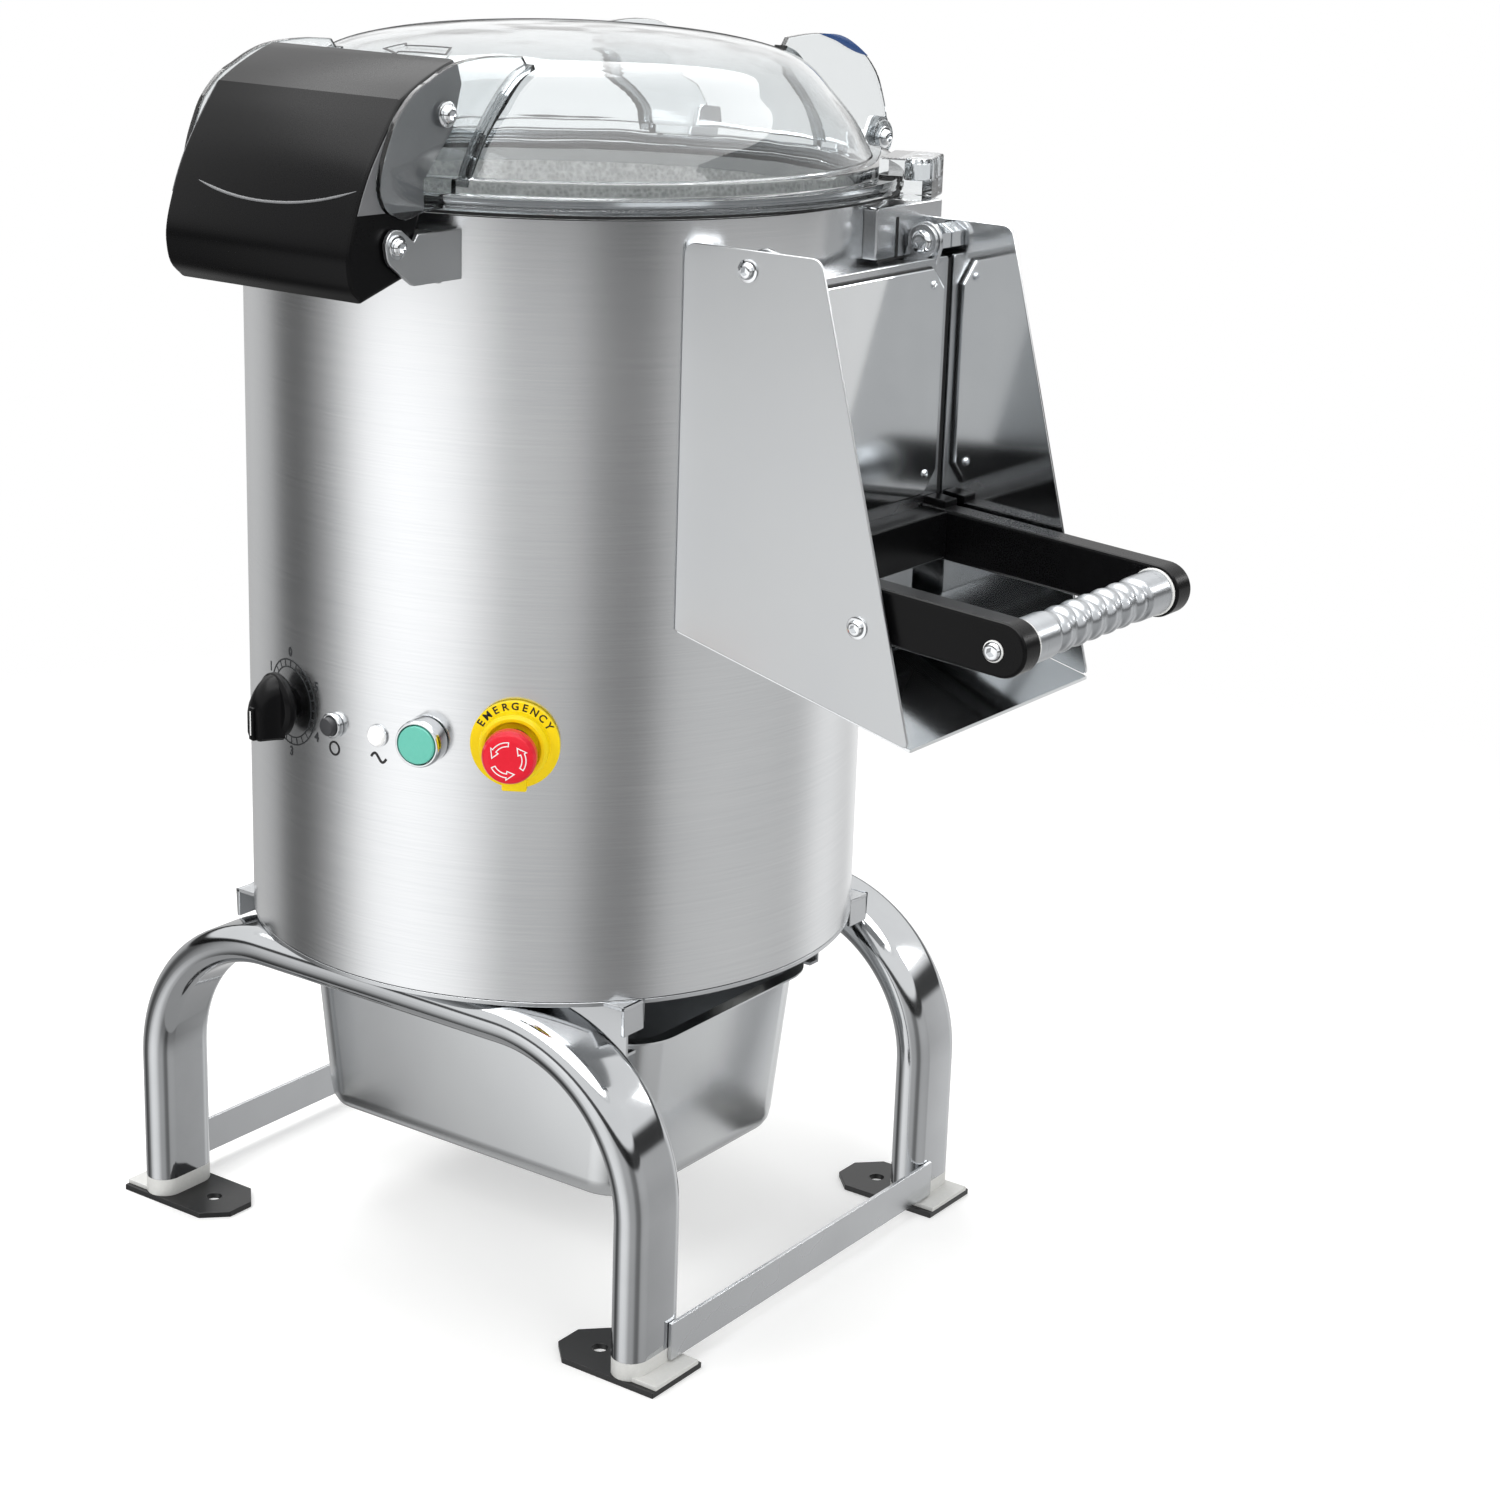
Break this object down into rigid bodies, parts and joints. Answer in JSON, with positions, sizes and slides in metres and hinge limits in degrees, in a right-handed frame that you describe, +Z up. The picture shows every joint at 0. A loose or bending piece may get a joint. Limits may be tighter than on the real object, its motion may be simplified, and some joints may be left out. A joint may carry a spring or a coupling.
{
  "type": "electric potato peeler",
  "caption": "Steel drum peeler on a bent-tube stand, with a clear hinged lid, an outlet door in a guarded chute, push controls and a catch tray.",
  "frame": {"origin": "on the floor, under the middle of the whole machine", "axes": "+Z up, +X towards the outlet chute, -Y towards the controls and the lid's handle"},
  "size_m": [0.637, 0.539, 0.795],
  "materials": {
    "brushed_steel": "stainless sheet, finely brushed round the drum",
    "polished_steel": "stainless steel polished to a mirror",
    "plain_steel": "stainless sheet, satin as rolled",
    "cast_alloy": "cast and machined",
    "grip_aluminium": "turned and satin anodised",
    "clear_plastic": "clear moulded polycarbonate",
    "black_plastic": "moulded, satin black",
    "black_rubber": "moulded seal rubber",
    "abrasive": "bonded abrasive grit",
    "grey_plastic": "moulded light grey",
    "white_plastic": "moulded white lens",
    "green_plastic": "moulded green cap",
    "yellow_plastic": "moulded yellow collar",
    "red_plastic": "moulded red cap",
    "motor_paint": "grey-blue enamel"
  },
  "bodies": {
    "base": {"drum_shell": "brushed_steel", "chamber_floor": "plain_steel", "abrasive_liner": "abrasive", "base_plate": "plain_steel", "stand_arch_front": "polished_steel", "stand_arch_rear": "polished_steel", "side_bar_left": "plain_steel", "side_bar_right": "plain_steel", "foot_front_left": "grey_plastic", "foot_front_right": "grey_plastic", "foot_rear_left": "grey_plastic", "foot_rear_right": "grey_plastic", "tray_rail_front": "plain_steel", "tray_rail_rear": "plain_steel", "bearing_housing": "cast_alloy", "upper_bearing": "polished_steel", "lower_bearing": "polished_steel", "shaft_seal": "black_rubber", "motor": "motor_paint", "motor_mount": "plain_steel", "drive_belt": "black_rubber", "waste_pipe": "grey_plastic", "water_inlet": "polished_steel", "cable_gland": "black_plastic", "lid_hinge_bracket": "brushed_steel", "lid_hinge_pin": "polished_steel", "catch_bracket": "brushed_steel", "switch_box": "brushed_steel", "door_frame": "brushed_steel", "door_seal": "black_rubber", "door_hinge_rod": "polished_steel", "guard_front": "polished_steel", "guard_rear": "polished_steel", "chute_floor": "polished_steel", "timer_switch": "grey_plastic", "power_lamp": "white_plastic", "stop_switch": "polished_steel", "start_switch": "polished_steel", "estop_ring": "yellow_plastic", "estop_switch": "black_plastic"},
    "disc": {"abrasive_disc": "abrasive", "drive_shaft": "polished_steel", "disc_pulley": "cast_alloy"},
    "motor_rotor": {"motor_pulley": "cast_alloy"},
    "lid": {"lid_cover": "clear_plastic", "lid_gasket": "black_rubber", "handle_pivot_pin": "polished_steel"},
    "handle": {"lid_handle": "black_plastic"},
    "door": {"door_leaf": "brushed_steel", "door_panel": "brushed_steel", "door_crossbar": "black_plastic", "door_arm_front": "black_plastic", "door_arm_rear": "black_plastic", "door_grip": "grip_aluminium"},
    "tray": {"catch_tray": "plain_steel"},
    "timer_dial": {"timer_knob": "black_plastic"},
    "stop_cap": {"stop_button": "black_plastic"},
    "start_cap": {"start_button": "green_plastic"},
    "estop_stem": {"estop_plunger": "polished_steel"},
    "estop_head": {"estop_button": "red_plastic"}
  },
  "joints": [
    {"name": "disc_spin", "type": "hinge", "parent": "base", "child": "disc", "pos_m": [-0.08948, 0.0055, 0.45], "axis": [0, 0, 1], "continuous": true},
    {"name": "motor_spin", "type": "hinge", "parent": "base", "child": "motor_rotor", "pos_m": [-0.14448, 0.10076, 0.25], "axis": [0, 0, 1], "continuous": true},
    {"name": "lid_open", "type": "hinge", "parent": "base", "child": "lid", "pos_m": [-0.08948, 0.2545, 0.715], "axis": [-1, 0, 0], "range_deg": [0, 95]},
    {"name": "handle_lift", "type": "hinge", "parent": "lid", "child": "handle", "pos_m": [-0.08948, -0.194, 0.757], "axis": [-1, 0, 0], "range_deg": [0, 20]},
    {"name": "door_swing", "type": "hinge", "parent": "base", "child": "door", "pos_m": [0.12702, 0.0055, 0.6755], "axis": [0, -1, 0], "range_deg": [0, 80]},
    {"name": "tray_slide", "type": "slide", "parent": "base", "child": "tray", "axis": [1, 0, 0], "range_m": [0, 0.24]},
    {"name": "timer_turn", "type": "hinge", "parent": "base", "child": "timer_dial", "pos_m": [-0.14595, -0.18636, 0.388], "axis": [-0.2823, -0.9593, 0], "range_deg": [0, 300]},
    {"name": "stop_push", "type": "slide", "parent": "base", "child": "stop_cap", "axis": [0.0628, 0.998, 0], "range_m": [0, 0.0025], "stiffness_N_per_m": 800},
    {"name": "start_push", "type": "slide", "parent": "base", "child": "start_cap", "axis": [-0.274, 0.9617, 0], "range_m": [0, 0.003], "stiffness_N_per_m": 800},
    {"name": "estop_push", "type": "slide", "parent": "base", "child": "estop_stem", "axis": [-0.5284, 0.849, 0], "range_m": [0, 0.004], "stiffness_N_per_m": 2000},
    {"name": "estop_twist", "type": "hinge", "parent": "estop_stem", "child": "estop_head", "pos_m": [0.01621, -0.16429, 0.39], "axis": [0.5284, -0.849, 0], "range_deg": [0, 40], "stiffness_Nm_per_rad": 0.05}
  ],
  "couplings": [
    {"joint": "motor_spin", "follows": "disc_spin", "ratio": 3.0202}
  ]
}
